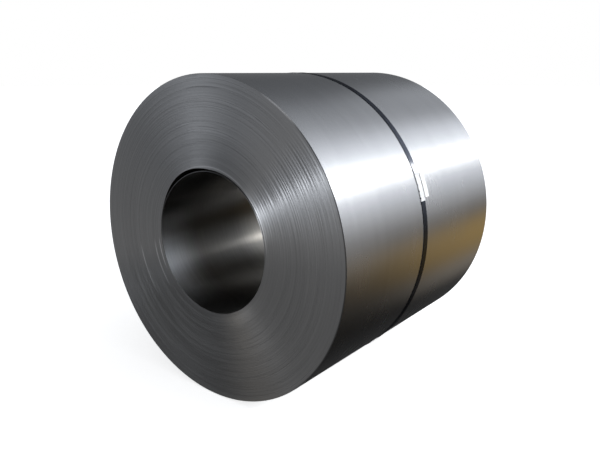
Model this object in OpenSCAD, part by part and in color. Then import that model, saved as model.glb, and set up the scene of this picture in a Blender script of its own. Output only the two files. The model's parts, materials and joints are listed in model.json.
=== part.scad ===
// Coil of cold-rolled steel strip, lying on its side with its bore along Y.
// Sizes are in millimetres, +Z is up, and the floor is at Z = 0 under the middle of the coil.
// Clock angles are degrees from the top of the coil, towards +X, seen from the -Y end.

/* [Coil] */
// Outside diameter of the coil
coil_od = 1375; // [900:5:2000]
// Diameter of the bore, as left by the winding mandrel
bore_d = 610; // [400:1:760]
// Width of the strip, which is the length of the coil
strip_width = 1250; // [600:5:1850]
// Thickness of the strip
strip_t = 1.5; // [0.8:0.1:4]

/* [Turns] */
// Turns that wander together and show as one ring on the ends
turns_per_ring = 8; // [4:1:20]
// Most that a ring stands proud of the middle of the others
turn_wander = 1.6; // [0.2:0.1:6]

/* [Loose inner wrap] */
// Widest gap behind the innermost wrap
wrap_gap = 12; // [4:1:30]
// Clock angle of the widest gap
wrap_clock = 336; // [0:1:359]
// Half of the arc over which the wrap has come away
wrap_half_arc = 44; // [20:1:80]

/* [Strap] */
// Width of the strap
strap_w = 32; // [16:1:50]
// Thickness of the strap
strap_t = 0.9; // [0.5:0.1:2]
// Place of the strap along the coil, from the middle towards +Y
strap_y = -35; // [-250:1:250]
// Air between the coil and what is strapped or stuck on it
seat_clearance = 0.3; // [0.1:0.05:0.6]
// Length of each strap end that shows beyond the seal
lap_end = 14; // [4:1:60]

/* [Seal] */
// Length of the seal along the strap
seal_len = 114; // [50:1:160]
// Thickness of the seal's sheet
seal_t = 1.2; // [0.6:0.1:2.5]
// Air between the seal and the two layers of strap in it
seal_clearance = 0.3; // [0.1:0.05:0.6]
// Clock angle of the lower end of the seal
seal_end_clock = 76; // [40:1:140]
// Number of crimps along each edge of the seal
crimp_count = 4; // [2:1:6]
// Diameter of the notch that a crimp leaves in the edge
crimp_d = 9; // [4:0.5:12]
// Depth of the notch into the edge
crimp_depth = 3; // [1:0.5:5]

/* [Tag] */
// Width of the blank tag beside the seal
tag_w = 32; // [16:1:60]
// Length of the tag round the coil
tag_len = 104; // [40:1:160]
// Thickness of the tag
tag_t = 0.6; // [0.3:0.1:1.5]
// Distance between the seal and the tag
tag_gap = 9; // [3:1:40]
// Clock angle of the lower end of the tag
tag_end_clock = 75; // [40:1:140]

/* [Hidden] */
$fn = 180;
coil_r = coil_od / 2;
bore_r = bore_d / 2;
axis_height = coil_r + seat_clearance + strap_t;

// Each ring is a pack of turns. The strip keeps its width, so a ring that is sunk at one end is
// proud at the other.
ring_w = turns_per_ring * strip_t;
ring_count = floor((coil_r - bore_r) / ring_w);
slow_wave = 23;
quick_wave = 222;
slow_share = 0.6;
drift = [for (i = [0 : ring_count - 1])
    slow_share * sin(slow_wave * i) + (1 - slow_share) * sin(quick_wave * i)];
drift_mid = (max(drift) + min(drift)) / 2;
drift_reach = (max(drift) - min(drift)) / 2;
shift = [for (d = drift) turn_wander * (d - drift_mid) / drift_reach];

// Circle through the crown of the gap behind the innermost wrap and through its two tips.
wrap_outer_r = bore_r + strip_t;
crown_r = wrap_outer_r + wrap_gap;
gap_offset = (crown_r ^ 2 - wrap_outer_r ^ 2) / (2 * (crown_r - wrap_outer_r * cos(wrap_half_arc)));
gap_r = crown_r - gap_offset;
past_end = 10;
cut_len = strip_width + 2 * turn_wander + 2 * past_end;

strap_r = coil_r + seat_clearance;
seal_inside_w = strap_w + 2 * seal_clearance;
seal_outside_w = seal_inside_w + 2 * seal_t;
seal_inside_h = 2 * strap_t + seal_clearance;
seal_outside_h = seal_inside_h + seal_t;
seal_start_clock = seal_end_clock - arc_angle(seal_len);
tag_y = strap_y + seal_outside_w / 2 + tag_gap + tag_w / 2;

// Angle that a length measured round the strap takes up
function arc_angle(length) = length / strap_r * 180 / PI;

// Radius at which a ring starts, and the coil's own radius after the last ring
function ring_start(i) = i < ring_count ? bore_r + i * ring_w : coil_r;

// Outline of one end of the turns, from the bore to the outside
function end_steps(end_y) = [for (i = [0 : ring_count - 1], r = [ring_start(i), ring_start(i + 1)])
    [r, end_y + shift[i]]];

function backwards(points) = [for (i = [len(points) - 1 : -1 : 0]) points[i]];

// Lays what is turned about Z along the coil's axis, with local X at clock angle 90
module on_axis() {
    translate([0, 0, axis_height]) rotate([-90, 0, 0]) children();
}

// Turns a section through an arc that ends at a clock angle
module arc_at(end_clock, length) {
    rotate([0, 0, end_clock - arc_angle(length) - 90])
        rotate_extrude(angle = arc_angle(length)) children();
}

// Section of a flat band: from its inner radius outwards, centred along the axis
module band_section(inner_r, thickness, width, y) {
    translate([inner_r, y - width / 2]) square([thickness, width]);
}

module wound_turns() {
    rotate_extrude()
        polygon(concat(end_steps(strip_width / 2), backwards(end_steps(-strip_width / 2))));
}

module wrap_gap_cut() {
    difference() {
        rotate([0, 0, wrap_clock - 90]) translate([gap_offset, 0, -cut_len / 2])
            cylinder(r = gap_r, h = cut_len);
        translate([0, 0, -cut_len / 2 - past_end])
            cylinder(r = wrap_outer_r, h = cut_len + 2 * past_end);
    }
}

module coil() {
    color("#8b8e92") on_axis() difference() {
        wound_turns();
        wrap_gap_cut();
    }
}

module strap() {
    color("#22252b") on_axis() {
        rotate_extrude() band_section(strap_r, strap_t, strap_w, strap_y);
        arc_at(seal_end_clock + arc_angle(lap_end), seal_len + 2 * lap_end)
            band_section(strap_r, 2 * strap_t, strap_w, strap_y);
    }
}

module seal_section() {
    difference() {
        band_section(strap_r, seal_outside_h, seal_outside_w, strap_y);
        band_section(strap_r - past_end, seal_inside_h + past_end, seal_inside_w, strap_y);
    }
}

module crimp_notch(clock, side) {
    rotate([0, 0, clock - 90])
        translate([strap_r - past_end, 0, strap_y + side * (seal_outside_w / 2 + crimp_d / 2 - crimp_depth)])
            rotate([0, 90, 0]) cylinder(d = crimp_d, h = seal_outside_h + 2 * past_end);
}

module seal() {
    crimp_step = arc_angle(seal_len) / crimp_count;
    color("#dfe2e4") on_axis() difference() {
        arc_at(seal_end_clock, seal_len) seal_section();
        for (i = [0 : crimp_count - 1], side = [-1, 1])
            crimp_notch(seal_start_clock + (i + 0.5) * crimp_step, side);
    }
}

module tag() {
    color("#f0f1ef") on_axis()
        arc_at(tag_end_clock, tag_len) band_section(strap_r, tag_t, tag_w, tag_y);
}

coil();
strap();
seal();
tag();
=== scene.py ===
"""Looks of a coil of bare cold-rolled steel strip: its turns, strap, seal and tag, and the stage."""
import json
import math
import random
from typing import NamedTuple

import bpy
from bpy.props import FloatProperty, FloatVectorProperty, IntProperty, PointerProperty
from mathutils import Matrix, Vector


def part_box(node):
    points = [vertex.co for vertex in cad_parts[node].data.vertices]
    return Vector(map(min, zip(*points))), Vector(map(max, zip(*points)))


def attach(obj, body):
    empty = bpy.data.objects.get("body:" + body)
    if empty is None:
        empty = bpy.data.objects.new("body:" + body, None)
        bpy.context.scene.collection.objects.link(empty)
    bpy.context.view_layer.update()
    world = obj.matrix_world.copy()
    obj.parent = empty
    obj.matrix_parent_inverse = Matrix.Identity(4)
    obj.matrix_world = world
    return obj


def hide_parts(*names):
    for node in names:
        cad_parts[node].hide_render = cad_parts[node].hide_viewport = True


bl_info = {
    "name": "Steel coil",
    "version": (1, 0, 0),
    "blender": (4, 5, 0),
    "location": "3D View > Sidebar > Steel coil",
    "description": "Winds a coil of bare steel strip, straps it and sets it on a pale floor",
    "category": "Object",
}

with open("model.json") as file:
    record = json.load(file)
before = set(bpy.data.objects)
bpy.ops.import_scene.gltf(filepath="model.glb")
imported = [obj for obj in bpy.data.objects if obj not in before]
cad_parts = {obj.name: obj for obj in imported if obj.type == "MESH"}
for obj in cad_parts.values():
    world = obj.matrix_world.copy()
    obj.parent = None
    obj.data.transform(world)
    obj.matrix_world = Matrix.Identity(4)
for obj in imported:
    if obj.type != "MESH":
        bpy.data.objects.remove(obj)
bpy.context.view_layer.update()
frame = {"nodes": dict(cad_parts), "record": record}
BORE = frame["record"]["mounts"][0]
AXIS_HEIGHT = BORE["pos_m"][2]
AXIS_POINT = (0.0, 0.0, AXIS_HEIGHT)
BORE_RADIUS = BORE["dims"]["r_mm"] / 1000
STRIP_WIDTH = BORE["dims"]["length_mm"] / 1000
COIL_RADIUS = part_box("coil")[1].x
STRAP_LOW, STRAP_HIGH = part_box("strap")
SEAL_LOW, SEAL_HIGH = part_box("seal")
TAG_LOW, TAG_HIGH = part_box("tag")
MM = 0.001


class CoilSettings(bpy.types.PropertyGroup):
    """Sizes and finish of the wound strip."""

    strip_thickness: FloatProperty(
        name="Strip thickness", description="Thickness of the strip", default=1.5 * MM, unit="LENGTH")
    ring_width: FloatProperty(
        name="Ring width", description="Mean width of a pack of turns that shows as one ring",
        default=6.4 * MM, unit="LENGTH")
    wander: FloatProperty(
        name="Wander", description="Most that a ring stands proud of the others",
        default=0.3 * MM, unit="LENGTH")
    ripple: FloatProperty(
        name="Ripple", description="Most that a ring's edge waves on its way round",
        default=0.2 * MM, unit="LENGTH")
    groove: FloatProperty(
        name="Groove", description="Depth of the groove between two rings",
        default=0.28 * MM, unit="LENGTH")
    steps: IntProperty(name="Steps", description="Steps of the turning round the axis", default=192)
    seed: IntProperty(name="Seed", description="Start of the random draws for the rings", default=7)
    tail_clock: FloatProperty(
        name="Tail clock", description="Clock angle at which the outer end of the strip lies",
        default=math.radians(214), subtype="ANGLE")
    loose_gap: FloatProperty(
        name="Loose gap", description="Widest gap behind the innermost wrap",
        default=10.5 * MM, unit="LENGTH")
    loose_sag: FloatProperty(
        name="Loose sag", description="How far the innermost wrap sags into the bore",
        default=8.5 * MM, unit="LENGTH")
    face_colour: FloatVectorProperty(
        name="Face colour", description="Colour of the rolled face of the strip",
        default=(0.50, 0.505, 0.52), subtype="COLOR")
    edge_colour: FloatVectorProperty(
        name="Edge colour", description="Colour of the sheared edges of the strip",
        default=(0.46, 0.462, 0.47), subtype="COLOR")
    # The bore colour is darker than the face as painted shade in the bore
    bore_shade_colour: FloatVectorProperty(
        name="Bore colour", description="Colour of the oiled strip in the bore",
        default=(0.25, 0.243, 0.232), subtype="COLOR")


class StrapSettings(bpy.types.PropertyGroup):
    """Finish of the strap, the seal and the tag."""

    strap_colour: FloatVectorProperty(
        name="Strap colour", description="Blue-black of the strap", default=(0.076, 0.083, 0.1),
        subtype="COLOR")
    seal_colour: FloatVectorProperty(
        name="Seal colour", description="Zinc of the seal", default=(0.88, 0.89, 0.90), subtype="COLOR")
    tag_colour: FloatVectorProperty(
        name="Tag colour", description="White of the blank tag", default=(0.93, 0.93, 0.92),
        subtype="COLOR")
    crimps: IntProperty(name="Crimps", description="Crimps along each edge of the seal", default=4)


class StageSettings(bpy.types.PropertyGroup):
    """Camera, floor and light."""

    azimuth: FloatProperty(
        name="Azimuth", description="Camera's turn round the coil", default=math.radians(38.12),
        subtype="ANGLE")
    elevation: FloatProperty(
        name="Elevation", description="Camera's height over the horizon", default=math.radians(13.17),
        subtype="ANGLE")
    distance: FloatProperty(
        name="Distance", description="Camera's distance from the middle of the bore", default=3.041,
        unit="LENGTH")
    lens: FloatProperty(name="Lens", description="Focal length in millimetres", default=37.04)
    floor_colour: FloatVectorProperty(
        name="Floor colour", description="Pale floor", default=(0.86, 0.86, 0.86), subtype="COLOR")


# Places round the bore's axis: clock angle 0 is the top, and a quarter turn is the +x side

def at_clock(radius, along, clock):
    """The point at a radius and a clock angle, with its place along the bore."""
    return Vector((radius * math.sin(clock), along, AXIS_HEIGHT + radius * math.cos(clock)))


def clock_of(point):
    """Clock angle of a point."""
    return math.atan2(point.x, point.z - AXIS_HEIGHT)


def radius_of(point):
    """Distance of a point from the bore's axis."""
    return math.hypot(point.x, point.z - AXIS_HEIGHT)


def clock_span(node):
    """Lowest and highest clock angle of a CAD node that covers less than half of the coil."""
    clocks = [clock_of(vertex.co) for vertex in frame["nodes"][node].data.vertices]
    return min(clocks), max(clocks)


def radius_span(node):
    """Smallest and largest distance of a CAD node from the bore's axis."""
    radii = [radius_of(vertex.co) for vertex in frame["nodes"][node].data.vertices]
    return min(radii), max(radii)


def bump_at(clock, middle, half_width):
    """A smooth hump: 1 at the middle, 0 from half_width on, whatever the turn."""
    apart = abs(math.remainder(clock - middle, math.tau)) / half_width
    if apart >= 1:
        return 0.0
    return 0.5 + 0.5 * math.cos(math.pi * apart)


# Turned meshes

MERGE_DISTANCE = 0.02 * MM


def draw_outline(name, points):
    """Draws a closed outline by extruding one vertex from point to point, and stays in edit mode.

    Leaving edit mode after the merge keeps the vertices in the order of the points.
    """
    bpy.ops.object.select_all(action="DESELECT")
    bpy.ops.mesh.primitive_plane_add(size=MM, location=points[0])
    piece = bpy.context.object
    piece.name = name
    piece.data.name = name
    bpy.ops.object.transform_apply(location=True, rotation=True, scale=True)
    bpy.ops.object.mode_set(mode="EDIT")
    bpy.ops.mesh.merge(type="CENTER")
    bpy.ops.object.mode_set(mode="OBJECT")
    bpy.ops.object.mode_set(mode="EDIT")
    for start, end in zip(points, points[1:]):
        bpy.ops.mesh.extrude_vertices_move(TRANSFORM_OT_translate={"value": end - start})
    bpy.ops.object.mode_set(mode="OBJECT")
    for vertex in piece.data.vertices:
        vertex.select = vertex.index in (0, len(points) - 1)
    bpy.ops.object.mode_set(mode="EDIT")
    bpy.ops.mesh.edge_face_add()
    bpy.ops.mesh.select_all(action="SELECT")
    return piece


def turn_outline(piece, angle, steps):
    """Turns the selected outline about the bore's axis, to a higher clock angle, and leaves edit mode."""
    bpy.ops.mesh.spin(
        steps=steps, angle=-angle, center=AXIS_POINT, axis=(0, 1, 0), use_auto_merge=False)
    bpy.ops.object.mode_set(mode="OBJECT")
    return piece


def close_and_smooth(piece, angle):
    """Merges doubles, closes what is open, points the faces outwards and smooths by angle."""
    bpy.ops.object.mode_set(mode="EDIT")
    bpy.ops.mesh.select_all(action="SELECT")
    bpy.ops.mesh.remove_doubles(threshold=MERGE_DISTANCE)
    bpy.ops.mesh.fill_holes(sides=0)
    bpy.ops.mesh.select_all(action="SELECT")
    bpy.ops.mesh.normals_make_consistent(inside=False)
    bpy.ops.object.mode_set(mode="OBJECT")
    bpy.ops.object.shade_smooth_by_angle(angle=angle)
    return piece


def band_points(inner, outer, low, high, eased, clock):
    """Section of a flat band with its four long edges eased."""
    corners = (
        (inner, low + eased), (inner + eased, low), (outer - eased, low), (outer, low + eased),
        (outer, high - eased), (outer - eased, high), (inner + eased, high), (inner, high - eased))
    return [at_clock(radius, along, clock) for radius, along in corners]


def settle(piece, node):
    """Makes a finished piece stand for a CAD node on the one body."""
    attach(piece, "root")
    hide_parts(node)


# Shader nodes

def link_or_set(tree, socket, value):
    """Links an input to another node's output, or sets it to a plain value."""
    if isinstance(value, bpy.types.NodeSocket):
        tree.links.new(value, socket)
    else:
        socket.default_value = value


def add_node(tree, kind, settings=None, inputs=None):
    """Adds a node, sets its options, and links or sets its inputs."""
    node = tree.nodes.new(kind)
    for name, value in (settings or {}).items():
        setattr(node, name, value)
    for name, value in (inputs or {}).items():
        link_or_set(tree, node.inputs[name], value)
    return node


def maths(tree, operation, first, second=0.0):
    """One step of arithmetic on two numbers."""
    return add_node(tree, "ShaderNodeMath", {"operation": operation}, {0: first, 1: second}).outputs[0]


def vector_maths(tree, operation, first, second=(0.0, 0.0, 0.0)):
    """One step of arithmetic on two vectors."""
    return add_node(
        tree, "ShaderNodeVectorMath", {"operation": operation}, {0: first, 1: second}).outputs[0]


def scaled(tree, vector, amount):
    """A vector times a number."""
    return add_node(
        tree, "ShaderNodeVectorMath", {"operation": "SCALE"}, {0: vector, "Scale": amount}).outputs[0]


def spread(tree, value, low, high, to_low, to_high):
    """Maps a value from one span to another, smoothly and clamped."""
    node = add_node(
        tree, "ShaderNodeMapRange", {"interpolation_type": "SMOOTHSTEP"},
        {"Value": value, "From Min": low, "From Max": high, "To Min": to_low, "To Max": to_high})
    return node.outputs["Result"]


def lessened(tree, amount, mask):
    """One, less the amount where the mask is one."""
    return maths(tree, "SUBTRACT", 1.0, maths(tree, "MULTIPLY", amount, mask))


def split(tree, vector):
    """The X, Y and Z of a vector."""
    return add_node(tree, "ShaderNodeSeparateXYZ", inputs={0: vector}).outputs


def mix_colours(tree, amount, first, second, blend="MIX"):
    """Mixes two colours."""
    node = tree.nodes.new("ShaderNodeMix")
    node.data_type = "RGBA"
    node.blend_type = blend
    for number, value in ((0, amount), (6, first), (7, second)):
        link_or_set(tree, node.inputs[number], value)
    return node.outputs[2]


def toned(tree, colour, tone):
    """A colour times a brightness."""
    grey = add_node(tree, "ShaderNodeCombineColor", inputs={0: tone, 1: tone, 2: tone}).outputs[0]
    return mix_colours(tree, 1.0, colour, grey, "MULTIPLY")


def bumped(tree, height, strength, distance, normal=None):
    """A normal that a height tips, on top of another normal if one is given."""
    inputs = {"Height": height, "Strength": strength, "Distance": distance}
    if normal is not None:
        inputs["Normal"] = normal
    return add_node(tree, "ShaderNodeBump", inputs=inputs).outputs[0]


def from_axis(tree):
    """Place of a surface point measured from the bore's axis."""
    place = add_node(tree, "ShaderNodeTexCoord").outputs["Object"]
    return vector_maths(tree, "SUBTRACT", place, AXIS_POINT)


def axis_parts(tree):
    """X, Y and Z of a surface point measured from the bore's axis, and its distance from the axis."""
    parts = split(tree, from_axis(tree))
    squares = maths(tree, "ADD", maths(tree, "POWER", parts["X"], 2), maths(tree, "POWER", parts["Z"], 2))
    return parts, maths(tree, "SQRT", squares)


def towards_clock(tree, parts, clock, reach=1.0):
    """Cosine of the angle between a direction of length reach from the axis and a clock angle."""
    return maths(
        tree, "ADD", maths(tree, "MULTIPLY", parts["X"], math.sin(clock) / reach),
        maths(tree, "MULTIPLY", parts["Z"], math.cos(clock) / reach))


def place_round_axis(tree, across, parts, radius, stretch):
    """A place for a texture that changes across the turns, and by stretch on the way round the axis."""
    return add_node(tree, "ShaderNodeCombineXYZ", inputs={
        "X": across,
        "Y": maths(tree, "MULTIPLY", maths(tree, "DIVIDE", parts["X"], radius), stretch),
        "Z": maths(tree, "MULTIPLY", maths(tree, "DIVIDE", parts["Z"], radius), stretch)}).outputs[0]


# Finishes that the materials share, and the spans of noise that they take

FINE_SPAN = (0.25, 0.75)
BROAD_SPAN = (0.3, 0.7)
PACK_SPAN = (0.38, 0.62)
PACK_UNEVENNESS_SCALE = 30.0
LEAN_SIZES = (0.3, 1.0)
# Sets the noise of one pack apart from that of the next
PACK_STRIDE = 7.31


def new_group(name, inputs, outputs):
    """Makes a shader node group with number sockets and returns it with its two end nodes."""
    group = bpy.data.node_groups.new(name, "ShaderNodeTree")
    for socket_name, default in inputs:
        socket = group.interface.new_socket(socket_name, in_out="INPUT", socket_type="NodeSocketFloat")
        socket.default_value = default
    for socket_name in outputs:
        group.interface.new_socket(socket_name, in_out="OUTPUT", socket_type="NodeSocketFloat")
    return group, group.nodes.new("NodeGroupInput"), group.nodes.new("NodeGroupOutput")


def give_results(group, result, values):
    """Links the values to the group's outputs."""
    for name, value in values.items():
        group.links.new(value, result.inputs[name])
    return group


def drawn_streaks_group():
    """Streaks that run round the axis: fine across the strip, long along it."""
    group, given, result = new_group(
        "Drawn streaks", [("Fineness", 200.0), ("Length", 3.0), ("Detail", 3.0)], ["Streaks"])
    parts, radius = axis_parts(group)
    across = maths(group, "MULTIPLY", maths(group, "ADD", radius, parts["Y"]), given.outputs["Fineness"])
    place = place_round_axis(group, across, parts, radius, given.outputs["Length"])
    noise = add_node(group, "ShaderNodeTexNoise", inputs={
        "Vector": place, "Scale": 1.0, "Detail": given.outputs["Detail"], "Roughness": 0.6})
    return give_results(group, result, {"Streaks": noise.outputs["Fac"]})


def turn_packs_group():
    """Packs of turns of uneven width.

    Value drifts round the axis from pack to pack, Lean tips every other pack the other way, and Border is
    0 where two packs meet.
    """
    group, given, result = new_group(
        "Turn packs", [("Width", 6 * MM), ("Drift", 1.0), ("Unevenness", 6.0)],
        ["Value", "Lean", "Border", "Radius"])
    parts, radius = axis_parts(group)
    uneven = add_node(group, "ShaderNodeTexNoise", {"noise_dimensions": "1D"}, {
        "W": radius, "Scale": PACK_UNEVENNESS_SCALE, "Detail": 1.0})
    count = maths(
        group, "ADD", maths(group, "DIVIDE", radius, given.outputs["Width"]),
        maths(group, "MULTIPLY", uneven.outputs["Fac"], given.outputs["Unevenness"]))
    pack = maths(group, "FLOOR", count)
    place = place_round_axis(
        group, maths(group, "MULTIPLY", pack, PACK_STRIDE), parts, radius, given.outputs["Drift"])
    noise = add_node(group, "ShaderNodeTexNoise", inputs={
        "Vector": place, "Scale": 1.0, "Detail": 1.0, "Roughness": 0.5})
    part = maths(group, "SUBTRACT", count, pack)
    chance = add_node(group, "ShaderNodeTexWhiteNoise", {"noise_dimensions": "1D"}, {"W": pack})
    size = spread(group, chance.outputs["Value"], 0.0, 1.0, *LEAN_SIZES)
    side = spread(group, maths(group, "MODULO", pack, 2.0), 0.0, 1.0, -1.0, 1.0)
    return give_results(group, result, {
        "Value": spread(group, noise.outputs["Fac"], *PACK_SPAN, -1.0, 1.0),
        "Lean": maths(group, "MULTIPLY", side, size),
        "Border": maths(group, "MINIMUM", part, maths(group, "SUBTRACT", 1.0, part)),
        "Radius": radius})


def smudges_group():
    """Soft patches of oil and handling, spread between two values."""
    group, given, result = new_group("Smudges", [("Scale", 4.0), ("Low", 0.0), ("High", 1.0)], ["Value"])
    place = add_node(group, "ShaderNodeTexCoord").outputs["Object"]
    noise = add_node(group, "ShaderNodeTexNoise", inputs={
        "Vector": place, "Scale": given.outputs["Scale"], "Detail": 4.0, "Roughness": 0.55,
        "Distortion": 0.4})
    value = spread(group, noise.outputs["Fac"], *BROAD_SPAN, given.outputs["Low"], given.outputs["High"])
    return give_results(group, result, {"Value": value})


def painted_arc_group():
    """A soft arc on the turns, at a radius, round a clock angle."""
    group, given, result = new_group(
        "Painted arc", [("Radius", 0.4), ("Line", 2 * MM), ("Clock sine", 0.0), ("Clock cosine", 1.0),
                     ("Least cosine", 0.9)], ["Mask"])
    parts, radius = axis_parts(group)
    off_line = maths(group, "ABSOLUTE", maths(group, "SUBTRACT", radius, given.outputs["Radius"]))
    on_line = spread(group, off_line, 0.0, given.outputs["Line"], 1.0, 0.0)
    towards = maths(
        group, "ADD", maths(group, "MULTIPLY", parts["X"], given.outputs["Clock sine"]),
        maths(group, "MULTIPLY", parts["Z"], given.outputs["Clock cosine"]))
    cosine = maths(group, "DIVIDE", towards, radius)
    in_arc = spread(group, cosine, given.outputs["Least cosine"], 1.0, 0.0, 1.0)
    return give_results(group, result, {"Mask": maths(group, "MULTIPLY", on_line, in_arc)})


def effect_groups():
    """The shared effects, made once."""
    made = {}
    for key, name, make in (
            ("streaks", "Drawn streaks", drawn_streaks_group), ("smudges", "Smudges", smudges_group),
            ("packs", "Turn packs", turn_packs_group), ("arc", "Painted arc", painted_arc_group)):
        made[key] = bpy.data.node_groups.get(name) or make()
    return made


def use_group(tree, group, **inputs):
    """Places a shared effect, with its inputs named in lower case, and returns its outputs."""
    named = {name.capitalize(): value for name, value in inputs.items()}
    return add_node(tree, "ShaderNodeGroup", {"node_tree": group}, named).outputs


def arc_mask(tree, groups, radius, line, clock, half):
    """Mask of one painted arc: it fades across its line, and along it until half from the clock angle."""
    arc = add_node(tree, "ShaderNodeGroup", {"node_tree": groups["arc"]}, {
        "Radius": radius, "Line": line, "Clock sine": math.sin(clock), "Clock cosine": math.cos(clock),
        "Least cosine": math.cos(half)})
    return arc.outputs["Mask"]


def new_material(name):
    """A material with only a Principled shader, and that shader."""
    material = bpy.data.materials.new(name)
    material.use_nodes = True
    return material, material.node_tree, material.node_tree.nodes["Principled BSDF"]


def dress(tree, shader, inputs):
    """Links or sets the shader's inputs."""
    for name, value in inputs.items():
        link_or_set(tree, shader.inputs[name], value)


# Shape of the wound coil

RING_SHARES = (0.55, 1.45)
LAST_RING_SHARE = 1.5
GROOVE_SHARES = (0.4, 1.0)
GROOVE_LIP = 1.1 * MM
RIM_ROUND = 1.0 * MM
RIM_DROP = 0.2 * MM
RIPPLE_WAVES = (2, 3, 3, 5)
OUTSIDE_RINGS = (-0.9, -0.6, -0.3, 0.0, 0.3, 0.6, 0.9)
LOOSE_TURNS = 2
LOOSE_SLIT = 0.25 * MM
SLIT_DEPTH = 420 * MM
GAP_CLOCK, GAP_HALF = math.radians(328), math.radians(40)
SAG_CLOCK, SAG_HALF = math.radians(340), math.radians(66)
SIDE_GAP_CLOCK, SIDE_GAP_HALF, SIDE_GAP_SHARE = math.radians(50), math.radians(56), 0.36
PUSH_REACH = 90 * MM
END_BAND = 4 * MM
COIL_SMOOTHING = math.radians(32)
# Numbers of the outline's points that belong to no ring
WRAP, SLIT_WALL, OUTSIDE = -1, -2, -3
FACE_SLOT, EDGE_SLOT, BORE_SLOT = range(3)


def ring_edges(settings, draws):
    """Radii at which the packs of turns start and end, from the wrap behind the gap to the outside."""
    edges = [BORE_RADIUS + LOOSE_TURNS * settings.strip_thickness + LOOSE_SLIT]
    while edges[-1] < COIL_RADIUS - LAST_RING_SHARE * settings.ring_width:
        edges.append(edges[-1] + settings.ring_width * draws.uniform(*RING_SHARES))
    edges[-1] = COIL_RADIUS - RIM_ROUND
    return edges


def end_points(settings, rings, side):
    """Outline of one end as (radius, along, ring number), from the bore to the outside.

    Points that belong to no ring have WRAP, SLIT_WALL or OUTSIDE for their number.
    """
    end = side * STRIP_WIDTH / 2
    slit_end = end - side * SLIT_DEPTH
    wrap_outside = BORE_RADIUS + LOOSE_TURNS * settings.strip_thickness
    slit_outside = wrap_outside + LOOSE_SLIT
    points = [
        (BORE_RADIUS, slit_end, WRAP), (BORE_RADIUS, end, WRAP), (wrap_outside, end, WRAP),
        (wrap_outside, slit_end, WRAP), (slit_outside, slit_end, SLIT_WALL),
        (slit_outside, end, SLIT_WALL)]
    for number, (inner, outer, shift, deep) in enumerate(rings):
        top = end + shift
        if number:
            points.append((inner, end - side * deep * settings.groove, number))
        points += [(inner + GROOVE_LIP, top, number), (outer - GROOVE_LIP, top, number)]
    return points + [
        (COIL_RADIUS - RIM_ROUND, end - side * RIM_DROP, OUTSIDE),
        (COIL_RADIUS, end - side * RIM_ROUND, OUTSIDE)]


def coil_outline(settings):
    """Half section of the coil as (radius, along, ring number), from the bore round both ends."""
    draws = random.Random(settings.seed)
    edges = ring_edges(settings, draws)
    rings = []
    for inner, outer in zip(edges, edges[1:]):
        shift = draws.uniform(-1, 1) * settings.wander
        rings.append((inner, outer, shift, draws.uniform(*GROOVE_SHARES)))
    near = end_points(settings, rings, -1)
    far = end_points(settings, rings, 1)
    far.reverse()
    outside = [(COIL_RADIUS, along * STRIP_WIDTH / 2, OUTSIDE) for along in OUTSIDE_RINGS]
    inside = [(BORE_RADIUS, 0.0, WRAP)]
    return near + outside + far + inside


def shape_turns(piece, outline, settings):
    """Loosens the innermost wrap, lets the rings ripple, and runs the outermost wrap out to its tail."""
    draws = random.Random(settings.seed + 1)
    rings = max(number for _, _, number in outline) + 1
    phases = [draws.uniform(0, math.tau) for _ in range(rings)]
    waves = [draws.choice(RIPPLE_WAVES) for _ in range(rings)]
    count = len(outline)
    for vertex in piece.data.vertices:
        turn = vertex.index // count / settings.steps
        radius, along, number = outline[vertex.index % count]
        clock = settings.tail_clock + turn * math.tau
        gap = bump_at(clock, GAP_CLOCK, GAP_HALF)
        side_gap = SIDE_GAP_SHARE * bump_at(clock, SIDE_GAP_CLOCK, SIDE_GAP_HALF)
        if number == WRAP:
            radius -= settings.loose_sag * bump_at(clock, SAG_CLOCK, SAG_HALF)
        elif number == OUTSIDE:
            radius -= settings.strip_thickness * turn
        else:
            depth = (radius - BORE_RADIUS) / PUSH_REACH
            if depth < 1:
                radius += settings.loose_gap * max(gap, side_gap) * (1 - depth) ** 2
        if number >= 0:
            along += settings.ripple * math.sin(waves[number] * clock + phases[number])
        vertex.co = at_clock(radius, along, clock)


def mark_faces(piece):
    """Gives each face its material: outside, ends, or bore with the slit behind the innermost wrap."""
    for face in piece.data.polygons:
        radius = radius_of(face.center)
        if abs(face.center.y) > STRIP_WIDTH / 2 - END_BAND and radius < COIL_RADIUS - 0.5 * RIM_ROUND:
            face.material_index = EDGE_SLOT
        elif radius < (BORE_RADIUS + COIL_RADIUS) / 2:
            face.material_index = BORE_SLOT
        else:
            face.material_index = FACE_SLOT


# Rolled face of the strip, on the outside and in the bore

FACE_LINES = 0.012
FACE_BANDS = 0.015
FACE_ROUGH = (0.25, 0.26)
FACE_OIL = 0.02
FLATS_HEIGHT = 0.06 * MM
LINES_HEIGHT = 0.2 * MM
BORE_LINES = 0.07
BORE_ROUGH = (0.3, 0.32)
BORE_STRETCH = 0.7
# The bore's darker colour is painted shade; towards the middle it is lighter and warmer
LIGHTER_MIDDLE_BORE = (0.44, 0.42, 0.385, 1)
MIDDLE_REACH = 200 * MM
# Painted highlight of the light that comes in at the bore's ends, round clock 243
MOUTH_HIGHLIGHT_COLOUR = (0.9, 0.93, 0.98, 1)
MOUTH_HIGHLIGHT_CLOCK = math.radians(243)
MOUTH_HIGHLIGHT_REACH = 220 * MM
MOUTH_HIGHLIGHT_LEAST_COSINE = 0.6
MOUTH_HIGHLIGHT_ROUGH = 0.05
# Painted shade on the bore's wall round clock 281, in the near half
WALL_SHADE_CLOCK = math.radians(281)
WALL_SHADE_HALF = math.radians(20)
WALL_SHADE_CORE = math.radians(8)
WALL_SHADE_FADE = 100 * MM
WALL_SHADE_DARKNESS = 0.42


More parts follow.
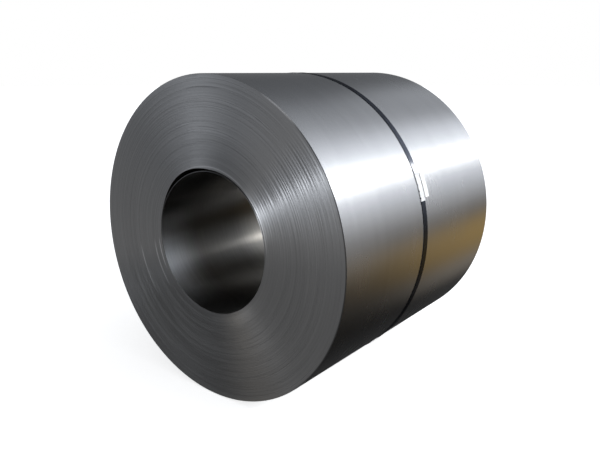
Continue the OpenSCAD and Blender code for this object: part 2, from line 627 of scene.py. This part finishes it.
def rolled_face_material(groups, colour):
    """Rolled face of the outermost turn: bright, with hair lines round it and faint flats across it."""
    material, tree, shader = new_material("rolled_steel_face")
    fine = use_group(tree, groups["streaks"], fineness=110.0, length=2.0, detail=2.0)["Streaks"]
    broad = use_group(tree, groups["streaks"], fineness=22.0, length=0.8, detail=2.0)["Streaks"]
    across = use_group(tree, groups["streaks"], fineness=1.2, length=42.0, detail=2.0)["Streaks"]
    oil = use_group(tree, groups["smudges"], scale=3.0, low=0.0, high=FACE_OIL)["Value"]
    tone = maths(
        tree, "ADD", spread(tree, fine, *FINE_SPAN, -FACE_LINES, FACE_LINES),
        spread(tree, broad, *BROAD_SPAN, 1 - FACE_BANDS, 1 + FACE_BANDS))
    flats = bumped(tree, across, strength=1.0, distance=FLATS_HEIGHT)
    dress(tree, shader, {
        "Base Color": toned(tree, (*colour, 1), tone),
        "Roughness": maths(tree, "ADD", spread(tree, broad, *BROAD_SPAN, *FACE_ROUGH), oil),
        "Normal": bumped(tree, fine, strength=0.02, distance=LINES_HEIGHT, normal=flats),
        "Metallic": 1.0})
    return material


def bore_face_material(groups, colour):
    """Rolled face in the bore in painted shade: lighter in the middle, painted highlight by the ends,
    deeper shade on a wall.
    """
    material, tree, shader = new_material("painted_shade_bore_face")
    fine = use_group(tree, groups["streaks"], fineness=200.0, length=2.0, detail=3.0)["Streaks"]
    oil = use_group(tree, groups["smudges"], scale=5.0, low=BORE_ROUGH[0], high=BORE_ROUGH[1])["Value"]
    parts = split(tree, from_axis(tree))
    from_middle = maths(tree, "ABSOLUTE", parts["Y"])
    from_end = maths(tree, "SUBTRACT", STRIP_WIDTH / 2, from_middle)
    patch = towards_clock(tree, parts, MOUTH_HIGHLIGHT_CLOCK, BORE_RADIUS)
    # Painted highlight by the ends of the bore, with a little more roughness there
    mouth_highlight = maths(
        tree, "MULTIPLY", spread(tree, from_end, 0.0, MOUTH_HIGHLIGHT_REACH, 1.0, 0.0),
        spread(tree, patch, MOUTH_HIGHLIGHT_LEAST_COSINE, 1.0, 0.0, 1.0))
    # Painted shade of the bore: lighter and warmer towards the middle
    towards_middle = spread(tree, from_middle, 0.0, MIDDLE_REACH, 1.0, 0.0)
    body = mix_colours(tree, towards_middle, (*colour, 1), LIGHTER_MIDDLE_BORE)
    body = mix_colours(tree, mouth_highlight, body, MOUTH_HIGHLIGHT_COLOUR)
    # Painted shade on one wall of the bore, fading out towards the far half
    towards_wall_shade = towards_clock(tree, parts, WALL_SHADE_CLOCK, BORE_RADIUS)
    wall_shade = spread(tree, towards_wall_shade, math.cos(WALL_SHADE_HALF), math.cos(WALL_SHADE_CORE), 0.0, WALL_SHADE_DARKNESS)
    near_half = spread(tree, parts["Y"], 0.0, WALL_SHADE_FADE, 1.0, 0.0)
    tone = maths(
        tree, "MULTIPLY", spread(tree, fine, *FINE_SPAN, 1 - BORE_LINES, 1 + BORE_LINES),
        lessened(tree, wall_shade, near_half))
    dress(tree, shader, {
        "Base Color": toned(tree, body, tone),
        "Roughness": maths(tree, "ADD", oil, maths(tree, "MULTIPLY", mouth_highlight, MOUTH_HIGHLIGHT_ROUGH)),
        "Normal": bumped(tree, fine, strength=0.1, distance=LINES_HEIGHT),
        "Tangent": add_node(tree, "ShaderNodeCombineXYZ", inputs={"Y": 1.0}).outputs[0],
        "Metallic": 1.0,
        "Anisotropic": BORE_STRETCH})
    return material


# Sheared edges of the turns, on both ends

class PaintedArc(NamedTuple):
    """An arc on the turn edges: a painted highlight, or darker where its strength is below zero."""

    radius_mm: float
    clock_deg: float
    half_deg: float
    line_mm: float
    strength: float


# Painted highlights on the turn edges where the strength is above zero, darker tone where it is below
PAINTED_ARCS = (
    PaintedArc(465, 244, 17, 6.0, 1.1),
    PaintedArc(360, 245, 20, 6.0, 1.1),
    PaintedArc(327, 252, 14, 6.0, 1.1),
    PaintedArc(319, 5, 55, 4.5, 0.5),
    PaintedArc(315.5, 66, 26, 6.0, 1.0),
    PaintedArc(310, 60, 24, 90, 0.4),
    PaintedArc(306.5, 243, 18, 4.0, 1.1),
    PaintedArc(306.5, 62, 26, 3.0, 1.1),
    PaintedArc(340, 160, 28, 45, 0.25),
    PaintedArc(684, 34, 9, 6, 0.9),
    PaintedArc(330, 14, 42, 220, -0.33),
    PaintedArc(640, 160, 36, 170, -0.16),
    PaintedArc(635.5, 359, 11, 3.5, -0.4),
    PaintedArc(479, 2, 9, 3, -0.25))
PACK_WIDTH = 4.2 * MM
PACK_DRIFT = 1.2
BURR_WIDTH = 6.6 * MM
BURR_UNEVENNESS = 2.0
BURRED_CLOCK = math.radians(60)
BURRED_HALF = math.radians(20)
BURRED_CORE = math.radians(7)
BURR_LEANS = (0.004, 0.044)
# Painted highlight strokes: tone that goes with a burr's lean, in the bright sector
BURR_HIGHLIGHT_TONE = -6.5
EDGE_LINES = 0.02
EDGE_BANDS = 0.015
EDGE_ROUGH = (0.305, 0.355)
EDGE_STRETCH = 0.955
EDGE_LEAN = 0.8
LINE_TWIST = 0.03
TWIST_RADII = (0.33, 0.66)
OUTER_TWIST = 0.008
WRAP_EDGE = (BORE_RADIUS + 3.0 * MM, BORE_RADIUS + 3.3 * MM)
LOOSE_COSINES = (-0.2, 0.15)
# Painted shade on the innermost wrap's edge where it sags into the bore
LOOSE_WRAP_SHADE = 0.66
# Painted shadow of the rounded rim: a dark line along the outer edge on the right side
RIM_LINE = (COIL_RADIUS - 8 * MM, COIL_RADIUS - 4 * MM)
RIM_SINES = (math.sin(math.radians(36)), math.sin(math.radians(52)))
RIM_SHADE = 0.67
CRACK_SHARE = 0.12
CRACK_TONE = 0.95


def edge_tone(tree, groups, packs, single, burr, towards):
    """Brightness of the turn edges: lines, painted highlight strokes on the burrs, painted arcs, painted
    shade on the loose wrap and the rim.
    """
    broad = use_group(tree, groups["streaks"], fineness=16.0, length=0.7, detail=2.0)["Streaks"]
    tone = maths(
        tree, "ADD", spread(tree, single, *FINE_SPAN, -EDGE_LINES, EDGE_LINES),
        spread(tree, broad, *BROAD_SPAN, 1 - EDGE_BANDS, 1 + EDGE_BANDS))
    # Painted highlight strokes: each burr in the bright sector lighter or darker by its lean
    tone = maths(tree, "ADD", tone, maths(tree, "MULTIPLY", burr, BURR_HIGHLIGHT_TONE))
    # Painted highlights, or darker tone, along the arcs
    for arc in PAINTED_ARCS:
        mask = arc_mask(
            tree, groups, arc.radius_mm * MM, arc.line_mm * MM, math.radians(arc.clock_deg),
            math.radians(arc.half_deg))
        tone = maths(tree, "ADD", tone, maths(tree, "MULTIPLY", mask, arc.strength))
    # Painted shade on the edge of the sagging innermost wrap
    loose = spread(tree, towards_clock(tree, towards, GAP_CLOCK), *LOOSE_COSINES, 0.0, LOOSE_WRAP_SHADE)
    on_wrap = spread(tree, packs["Radius"], *WRAP_EDGE, 1.0, 0.0)
    # Painted shadow of the rim on the right side
    right = spread(tree, towards["X"], *RIM_SINES, 0.0, RIM_SHADE)
    on_rim = spread(tree, packs["Radius"], *RIM_LINE, 0.0, 1.0)
    crack = spread(tree, packs["Border"], 0.0, CRACK_SHARE, CRACK_TONE, 1.0)
    for shade in (lessened(tree, loose, on_wrap), lessened(tree, right, on_rim), crack):
        tone = maths(tree, "MULTIPLY", tone, shade)
    return tone


def edge_normal(tree, packs, single, burr, outwards):
    """Normal of the turn edges: leaning outwards, and twisted round the axis by burrs and lines."""
    around = vector_maths(tree, "CROSS_PRODUCT", outwards, (0.0, 1.0, 0.0))
    lines = maths(tree, "MULTIPLY", maths(tree, "SUBTRACT", single, 0.5), LINE_TWIST)
    twist = maths(tree, "ADD", maths(tree, "ADD", burr, lines),
                  spread(tree, packs["Radius"], *TWIST_RADII, 0.0, OUTER_TWIST))
    facing = add_node(tree, "ShaderNodeNewGeometry").outputs["Normal"]
    leaning = vector_maths(tree, "ADD", scaled(tree, outwards, EDGE_LEAN), scaled(tree, around, twist))
    return vector_maths(tree, "NORMALIZE", vector_maths(tree, "ADD", facing, leaning))


def turn_edges_material(groups, colour):
    """Sheared edges of the turns: drawn round the bore, each one rolled over on its outer side."""
    material, tree, shader = new_material("steel_turn_edges")
    packs = use_group(tree, groups["packs"], width=PACK_WIDTH, drift=PACK_DRIFT)
    burrs = use_group(
        tree, groups["packs"], width=BURR_WIDTH, drift=PACK_DRIFT, unevenness=BURR_UNEVENNESS)
    single = use_group(tree, groups["streaks"], fineness=800.0, length=1.2, detail=2.0)["Streaks"]
    outwards = vector_maths(
        tree, "NORMALIZE", vector_maths(tree, "MULTIPLY", from_axis(tree), (1.0, 0.0, 1.0)))
    towards = split(tree, outwards)
    burred = towards_clock(tree, towards, BURRED_CLOCK)
    burr_size = spread(tree, burred, math.cos(BURRED_HALF), math.cos(BURRED_CORE), *BURR_LEANS)
    burr = maths(tree, "MULTIPLY", burrs["Lean"], burr_size)
    tone = edge_tone(tree, groups, packs, single, burr, towards)
    dress(tree, shader, {
        "Base Color": toned(tree, (*colour, 1), tone),
        "Roughness": spread(tree, packs["Value"], -1.0, 1.0, *EDGE_ROUGH),
        "Normal": edge_normal(tree, packs, single, burr, outwards),
        "Tangent": outwards,
        "Metallic": 1.0,
        "Anisotropic": EDGE_STRETCH})
    return material


class STEELCOIL_OT_wind(bpy.types.Operator):
    """Wind the strip into a coil with its turns on the ends"""

    bl_idname = "steelcoil.wind"
    bl_label = "Wind the coil"

    def execute(self, context):
        settings = context.scene.steel_coil
        outline = coil_outline(settings)
        points = [at_clock(radius, along, settings.tail_clock) for radius, along, _ in outline]
        piece = turn_outline(draw_outline("wound_coil", points), math.tau, settings.steps)
        shape_turns(piece, outline, settings)
        close_and_smooth(piece, COIL_SMOOTHING)
        groups = effect_groups()
        piece.data.materials.append(rolled_face_material(groups, settings.face_colour))
        piece.data.materials.append(turn_edges_material(groups, settings.edge_colour))
        piece.data.materials.append(bore_face_material(groups, settings.bore_shade_colour))
        mark_faces(piece)
        settle(piece, "coil")
        return {"FINISHED"}


# The strap

STRAP_STEPS = 240
STRAP_EASE = 0.25 * MM
STRAP_SMOOTHING = math.radians(40)
CLIMB_ANGLE = math.radians(2.0)
LAP_SHOWN = 14 * MM
LAP_AIR = 0.03 * MM
STRAP_LIGHTER = 1.3
STRAP_LINE_SPAN = (0.4, 0.75)
STRAP_LINE_SHARE = 0.6
STRAP_LINE_HEIGHT = 0.1 * MM
STRAP_ROUGH = (0.2, 0.28)
STRAP_TINT = (0.53, 0.53, 0.55, 1)
# Painted highlight on the strap where it runs into the seal, in the glare on the coil
GLARE_CLOCK, GLARE_HALF = math.radians(67.0), math.radians(5.7)
GLARE_LINE = 10 * MM
GLARE_METALLIC = 0.35
GLARE_STRAP_COLOUR = (0.6, 0.61, 0.63, 1)


def strap_material(groups, colour):
    """Blued strap: dark steel with faint lines along it and dull scuffs, with a lighter painted highlight
    by the seal.
    """
    material, tree, shader = new_material("blued_strap")
    lines = use_group(tree, groups["streaks"], fineness=900.0, length=6.0, detail=2.0)["Streaks"]
    scuffs = use_group(tree, groups["smudges"], scale=40.0, low=0.0, high=1.0)["Value"]
    lighter = tuple(STRAP_LIGHTER * part for part in colour)
    amount = maths(
        tree, "MULTIPLY", spread(tree, lines, *STRAP_LINE_SPAN, 0.0, STRAP_LINE_SHARE), scuffs)
    body = mix_colours(tree, amount, (*colour, 1), (*lighter, 1))
    # Painted highlight: lighter and less metallic where the strap runs into the glare by the seal
    glare = arc_mask(tree, groups, COIL_RADIUS, GLARE_LINE, GLARE_CLOCK, GLARE_HALF)
    dress(tree, shader, {
        "Base Color": mix_colours(tree, glare, body, GLARE_STRAP_COLOUR),
        "Roughness": spread(tree, scuffs, 0.0, 1.0, *STRAP_ROUGH),
        "Normal": bumped(tree, lines, strength=0.1, distance=STRAP_LINE_HEIGHT),
        "Metallic": spread(tree, glare, 0.0, 1.0, 1.0, GLARE_METALLIC),
        "Specular Tint": STRAP_TINT})
    return material


def lap_ends(piece, count, start, sweep, rise):
    """Runs the turned strap on past its own start, and lifts it over that by the rise."""
    for vertex in piece.data.vertices:
        swept = vertex.index // count / STRAP_STEPS * sweep
        climb = min(max((swept - math.tau + CLIMB_ANGLE) / CLIMB_ANGLE, 0.0), 1.0)
        vertex.co = at_clock(radius_of(vertex.co) + climb * rise, vertex.co.y, start + swept)


class STEELCOIL_OT_strap(bpy.types.Operator):
    """Lay the strap round the coil, its outer end lapped over the inner one"""

    bl_idname = "steelcoil.strap"
    bl_label = "Lay the strap"

    def execute(self, context):
        settings = context.scene.steel_strap
        outer = STRAP_HIGH.z - AXIS_HEIGHT
        inner = max(radius_span("strap")[0], COIL_RADIUS)
        seal_start, seal_end = clock_span("seal")
        lap = LAP_SHOWN / outer
        start = seal_start - lap
        sweep = math.tau + (seal_end - seal_start) + 2 * lap
        points = band_points(inner, outer, STRAP_LOW.y, STRAP_HIGH.y, STRAP_EASE, start)
        piece = turn_outline(draw_outline("steel_strap", points), sweep, STRAP_STEPS)
        lap_ends(piece, len(points), start, sweep, outer - inner + LAP_AIR)
        close_and_smooth(piece, STRAP_SMOOTHING)
        piece.data.materials.append(strap_material(effect_groups(), settings.strap_colour))
        settle(piece, "strap")
        return {"FINISHED"}


# The seal

SEAL_STEPS = 76
SEAL_SHEET = 1.2 * MM
SEAL_FOLD = 3.2 * MM
SEAL_SMOOTHING = math.radians(35)
FOLD_TURNS = [math.radians(turn) for turn in (0, 30, 60, 90)]
CRIMP_REACH = 5 * MM
CRIMP_DEPTH = 3 * MM
SPANGLE_SCALE = 260.0
SPANGLE_DULLER = 0.86
ZINC_ROUGH = (0.5, 0.6)
ZINC_METALLIC = 0.4


def zinc_material(groups, colour):
    """Zinc plate: bright, with a faint spangle."""
    material, tree, shader = new_material("bright_zinc")
    place = add_node(tree, "ShaderNodeTexCoord").outputs["Object"]
    spangle = add_node(tree, "ShaderNodeTexVoronoi", inputs={"Vector": place, "Scale": SPANGLE_SCALE})
    duller = tuple(SPANGLE_DULLER * part for part in colour)
    smear = use_group(tree, groups["smudges"], scale=60.0, low=ZINC_ROUGH[0], high=ZINC_ROUGH[1])
    dress(tree, shader, {
        "Base Color": mix_colours(tree, spangle.outputs["Color"], (*colour, 1), (*duller, 1)),
        "Roughness": smear["Value"],
        "Metallic": ZINC_METALLIC})
    return material


def seal_section(inner, outer, half):
    """Section of the folded clip as (radius, sideways): over its back, and back along its inside."""
    folds = [(SEAL_FOLD * (1 - math.cos(turn)), SEAL_FOLD * (1 - math.sin(turn))) for turn in FOLD_TURNS]
    left = [(outer - down, -half + aside) for aside, down in folds]
    back = [(outer, -half / 2), (outer, 0.0), (outer, half / 2)]
    right = [(outer - down, half - aside) for aside, down in reversed(folds)]
    inside = [
        (inner, half - SEAL_SHEET), (outer - SEAL_SHEET, half - SEAL_SHEET),
        (outer - SEAL_SHEET, -half + SEAL_SHEET), (inner, -half + SEAL_SHEET)]
    return [(inner, -half), *left, *back, *right, (inner, half), *inside]


def crimp_edges(piece, start, pitch, middle, half):
    """Pinches both long edges of the clip at each crimp."""
    for vertex in piece.data.vertices:
        radius = radius_of(vertex.co)
        clock = clock_of(vertex.co)
        station = start + (math.floor((clock - start) / pitch) + 0.5) * pitch
        crimp = bump_at(clock, station, CRIMP_REACH / radius)
        sideways = vertex.co.y - middle
        pinch = 1 - crimp * CRIMP_DEPTH / half * (abs(sideways) / half) ** 2
        vertex.co = at_clock(radius, middle + sideways * pinch, clock)


class STEELCOIL_OT_seal(bpy.types.Operator):
    """Form the crimped seal over the lapped ends of the strap"""

    bl_idname = "steelcoil.seal"
    bl_label = "Form the seal"

    def execute(self, context):
        settings = context.scene.steel_strap
        start, end = clock_span("seal")
        inner, outer = radius_span("seal")
        middle = (SEAL_LOW.y + SEAL_HIGH.y) / 2
        half = (SEAL_HIGH.y - SEAL_LOW.y) / 2
        section = seal_section(inner, outer, half)
        points = [at_clock(radius, middle + sideways, start) for radius, sideways in section]
        piece = turn_outline(draw_outline("crimped_seal", points), end - start, SEAL_STEPS)
        crimp_edges(piece, start, (end - start) / settings.crimps, middle, half)
        close_and_smooth(piece, SEAL_SMOOTHING)
        piece.data.materials.append(zinc_material(effect_groups(), settings.seal_colour))
        settle(piece, "seal")
        return {"FINISHED"}


# The tag

TAG_STEPS = 24
TAG_EASE = 0.15 * MM
TAG_SMOOTHING = math.radians(35)
TAG_SOILED = 0.8
TAG_SOIL_SHARE = 0.12
TAG_ROUGH = (0.38, 0.5)
TAG_CREASE_HEIGHT = 0.2 * MM


def tag_material(groups, colour):
    """Blank white film, a little creased."""
    material, tree, shader = new_material("white_tag_film")
    soil = use_group(tree, groups["smudges"], scale=45.0, low=0.0, high=TAG_SOIL_SHARE)["Value"]
    crease = use_group(tree, groups["smudges"], scale=90.0, low=0.0, high=1.0)["Value"]
    soiled = tuple(TAG_SOILED * part for part in colour)
    dress(tree, shader, {
        "Base Color": mix_colours(tree, soil, (*colour, 1), (*soiled, 1)),
        "Roughness": spread(tree, crease, 0.0, 1.0, *TAG_ROUGH),
        "Normal": bumped(tree, crease, strength=0.15, distance=TAG_CREASE_HEIGHT)})
    return material


class STEELCOIL_OT_tag(bpy.types.Operator):
    """Stick the blank tag on the coil beside the seal"""

    bl_idname = "steelcoil.tag"
    bl_label = "Stick the tag"

    def execute(self, context):
        settings = context.scene.steel_strap
        start, end = clock_span("tag")
        inner, outer = radius_span("tag")
        points = band_points(inner, outer, TAG_LOW.y, TAG_HIGH.y, TAG_EASE, start)
        piece = turn_outline(draw_outline("blank_tag", points), end - start, TAG_STEPS)
        close_and_smooth(piece, TAG_SMOOTHING)
        piece.data.materials.append(tag_material(effect_groups(), settings.tag_colour))
        settle(piece, "tag")
        return {"FINISHED"}


# The stage: light by the clock angle it comes from, as (degrees, brightness, tint), then floor and camera

LIGHT_PEAK = 9.0
BACKDROP = (1, 1, 1, 1)
NEUTRAL = (1.0, 1.0, 1.0)
COOL = (0.95, 0.99, 1.05)
SAND = (1.05, 1.0, 0.93)
TAN = (1.12, 1.0, 0.85)
WARM = (1.56, 1.03, 0.34)
FRONT_LIGHT = (
    (-180, 0.12, NEUTRAL), (-140, 0.14, NEUTRAL), (-110, 0.22, NEUTRAL), (-60, 0.5, COOL),
    (20, 0.24, NEUTRAL), (42, 0.3, COOL), (47, 1.8, COOL), (52, 1.8, COOL), (57, 0.42, COOL),
    (75, 0.28, NEUTRAL), (180, 0.12, NEUTRAL))
AHEAD_LIGHT = (
    (-180, 0.2, NEUTRAL), (-168, 0.31, NEUTRAL), (-154, 0.33, SAND), (-141, 0.1, NEUTRAL),
    (-112.5, 0.03, NEUTRAL), (-108.5, 0.3, NEUTRAL), (-84, 0.28, COOL), (-60, 0.68, COOL),
    (-41, 0.34, COOL), (-29, 0.23, COOL), (3, 0.21, NEUTRAL), (20, 0.28, NEUTRAL), (33, 0.42, COOL),
    (43, 0.85, COOL), (47, 2.1, COOL), (52, 2.1, COOL), (57, 1.2, COOL), (91, 0.38, NEUTRAL),
    (110, 0.23, NEUTRAL), (180, 0.2, NEUTRAL))
BEHIND_LIGHT = (
    (-180, 0.015, NEUTRAL), (-150, 0.033, NEUTRAL), (-112.5, 0.03, NEUTRAL), (-108.5, 0.26, NEUTRAL),
    (-57, 0.11, COOL), (-25, 0.16, COOL), (7, 0.48, COOL), (23, 0.84, COOL), (39, 1.5, COOL),
    (47, 2.1, COOL), (50.5, 3.2, NEUTRAL), (53.5, 9.0, NEUTRAL), (56.7, 9.0, NEUTRAL),
    (60.2, 1.75, COOL), (89, 0.53, NEUTRAL), (97, 0.32, NEUTRAL), (115, 0.19, TAN), (123, 0.08, TAN),
    (131, 0.02, TAN), (180, 0.006, TAN))
FAR_BACK_LIGHT = (
    (-180, 0.04, NEUTRAL), (-110, 0.06, NEUTRAL), (-75, 0.16, COOL), (-50, 0.15, COOL), (-37, 0.3, COOL),
    (-29, 0.5, COOL), (-21, 0.54, COOL), (-9, 0.41, COOL), (7, 0.41, COOL), (23, 1.2, COOL),
    (47, 1.6, COOL), (50.5, 2.5, NEUTRAL), (52.8, 9.0, NEUTRAL), (54.6, 9.0, NEUTRAL), (57.8, 1.2, COOL),
    (77, 0.93, COOL), (99, 0.42, NEUTRAL), (107, 0.16, NEUTRAL), (113, 0.15, NEUTRAL), (121, 0.22, WARM),
    (129, 0.3, WARM), (139, 0.3, WARM), (151, 0.24, WARM), (163, 0.28, TAN), (180, 0.24, TAN))
# The next ramp, and the values of y at which it starts and has taken over
LIGHT_CHANGES = (
    (AHEAD_LIGHT, -0.75, -0.5), (BEHIND_LIGHT, -0.1, 0.2), (FAR_BACK_LIGHT, 0.805, 0.88))
FLOOR_RADIUS = 60
FLOOR_SIDES = 96
FLOOR_GLOW = 0.72
PICTURE_WIDTH = 600
# Pixels by which the middle of the coil lies right of and above the middle of the picture
COIL_PLACE_IN_PICTURE = (2.4, 9.1)


def light_ramp(tree, place, stops):
    """A colour ramp over the clock angle from (degrees, brightness, tint)."""
    node = add_node(tree, "ShaderNodeValToRGB", inputs={"Fac": place})
    ramp = node.color_ramp
    while len(ramp.elements) < len(stops):
        ramp.elements.new(0.5)
    for element, (degrees, brightness, tint) in zip(ramp.elements, stops):
        element.position = (degrees + 180) / 360
        element.color = (*(brightness / LIGHT_PEAK * part for part in tint), 1)
    return node.outputs["Color"]


def studio_world():
    """Light all round by the clock angle of its direction, white where the camera looks past.

    From the near side to the far one the light changes from one ramp to the next, between two values of y.
    """
    world = bpy.data.worlds.new("Studio")
    world.use_nodes = True
    tree = world.node_tree
    parts = split(tree, add_node(tree, "ShaderNodeTexCoord").outputs["Generated"])
    clock = maths(tree, "ARCTAN2", parts["X"], parts["Z"])
    place = add_node(tree, "ShaderNodeMapRange", inputs={
        "Value": clock, "From Min": -math.pi, "From Max": math.pi}).outputs["Result"]
    around = light_ramp(tree, place, FRONT_LIGHT)
    for stops, low, high in LIGHT_CHANGES:
        share = spread(tree, parts["Y"], low, high, 0.0, 1.0)
        around = mix_colours(tree, share, around, light_ramp(tree, place, stops))
    full = mix_colours(tree, 1.0, around, (LIGHT_PEAK, LIGHT_PEAK, LIGHT_PEAK, 1), "MULTIPLY")
    sight = add_node(tree, "ShaderNodeLightPath").outputs["Is Camera Ray"]
    tree.links.new(mix_colours(tree, sight, full, BACKDROP), tree.nodes["Background"].inputs["Color"])
    bpy.context.scene.world = world


def pale_floor(colour):
    """A wide pale floor that the steel doesn't mirror, so that the coil's underside stays dark."""
    bpy.ops.object.select_all(action="DESELECT")
    bpy.ops.mesh.primitive_circle_add(
        vertices=FLOOR_SIDES, radius=FLOOR_RADIUS, fill_type="NGON", location=(0, 0, 0))
    floor = bpy.context.object
    floor.name = "pale_floor"
    material, tree, shader = new_material("pale_floor")
    dress(tree, shader, {
        "Base Color": (*colour, 1),
        "Roughness": 0.9,
        "Specular IOR Level": 0.1,
        "Emission Color": (1, 1, 1, 1),
        "Emission Strength": FLOOR_GLOW})
    floor.data.materials.append(material)
    floor.visible_glossy = False


def photo_camera(settings):
    """The camera on its arc round the coil, aimed at the middle of the bore."""
    back = Vector((
        math.sin(settings.azimuth) * math.cos(settings.elevation),
        -math.cos(settings.azimuth) * math.cos(settings.elevation), math.sin(settings.elevation)))
    data = bpy.data.cameras.new("photo_camera")
    data.lens = settings.lens
    data.shift_x, data.shift_y = (-pixels / PICTURE_WIDTH for pixels in COIL_PLACE_IN_PICTURE)
    camera = bpy.data.objects.new("photo_camera", data)
    bpy.context.scene.collection.objects.link(camera)
    camera.location = Vector(AXIS_POINT) + back * settings.distance
    camera.rotation_euler = back.to_track_quat("Z", "Y").to_euler()
    bpy.context.scene.camera = camera


class STEELCOIL_OT_stage(bpy.types.Operator):
    """Set the floor, the light and the camera"""

    bl_idname = "steelcoil.stage"
    bl_label = "Set the stage"

    def execute(self, context):
        settings = context.scene.steel_stage
        pale_floor(settings.floor_colour)
        studio_world()
        photo_camera(settings)
        context.scene.view_settings.view_transform = "Standard"
        return {"FINISHED"}


class STEELCOIL_PT_panel(bpy.types.Panel):
    """Lists the pieces of the coil and the stage"""

    bl_label = "Steel coil"
    bl_idname = "STEELCOIL_PT_panel"
    bl_space_type = "VIEW_3D"
    bl_region_type = "UI"
    bl_category = "Steel coil"

    def draw(self, context):
        layout = self.layout
        for settings, operators in (
                (context.scene.steel_coil, ("steelcoil.wind",)),
                (context.scene.steel_strap, ("steelcoil.strap", "steelcoil.seal", "steelcoil.tag")),
                (context.scene.steel_stage, ("steelcoil.stage",))):
            box = layout.box()
            for name in settings.__annotations__:
                box.prop(settings, name)
            for operator in operators:
                box.operator(operator)


CLASSES = (
    CoilSettings, StrapSettings, StageSettings, STEELCOIL_OT_wind, STEELCOIL_OT_strap, STEELCOIL_OT_seal,
    STEELCOIL_OT_tag, STEELCOIL_OT_stage, STEELCOIL_PT_panel)


def register():
    for each in CLASSES:
        bpy.utils.register_class(each)
    bpy.types.Scene.steel_coil = PointerProperty(type=CoilSettings)
    bpy.types.Scene.steel_strap = PointerProperty(type=StrapSettings)
    bpy.types.Scene.steel_stage = PointerProperty(type=StageSettings)


def unregister():
    del bpy.types.Scene.steel_stage
    del bpy.types.Scene.steel_strap
    del bpy.types.Scene.steel_coil
    for each in reversed(CLASSES):
        bpy.utils.unregister_class(each)


def main():
    register()
    bpy.ops.steelcoil.wind()
    bpy.ops.steelcoil.strap()
    bpy.ops.steelcoil.seal()
    bpy.ops.steelcoil.tag()
    bpy.ops.steelcoil.stage()


if __name__ == "__main__":
    main()
